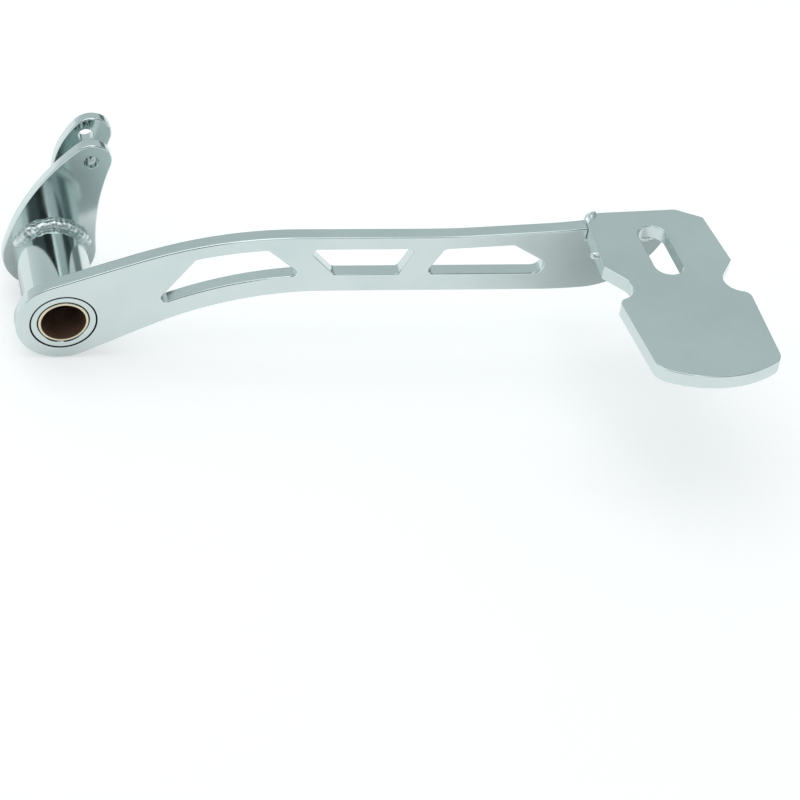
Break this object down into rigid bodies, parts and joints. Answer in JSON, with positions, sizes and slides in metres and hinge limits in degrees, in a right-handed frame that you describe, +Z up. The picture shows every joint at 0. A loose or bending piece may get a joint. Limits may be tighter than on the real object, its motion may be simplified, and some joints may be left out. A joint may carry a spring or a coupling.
{
  "type": "rear brake pedal",
  "caption": "Foot brake pedal: windowed side arm with a broad welded footplate, a bushed pivot tube and a pair of rod ears standing on the tube.",
  "frame": {"origin": "on the pivot axis, at the outer face of the arm", "axes": "+X forward along the arm to the footplate, +Y along the pivot towards the machine, +Z up"},
  "size_m": [0.3044, 0.1688, 0.0802],
  "materials": {
    "chrome": "chrome plate, polished",
    "bronze": "sintered bronze, reamed",
    "weld": "chrome plate over a rippled weld bead"
  },
  "bodies": {
    "root": {"arm_plate": "chrome", "footplate": "chrome", "pivot_tube": "chrome", "outer_bushing": "bronze", "inner_bushing": "bronze", "outer_rod_ear": "chrome", "inner_rod_ear": "chrome", "pin_boss": "chrome", "arm_tube_weld": "weld", "outer_ear_weld": "weld", "inner_ear_weld": "weld", "front_pad_weld": "weld", "rear_pad_weld": "weld", "corner_pad_weld": "weld", "side_tack_weld": "weld"}
  },
  "joints": []
}
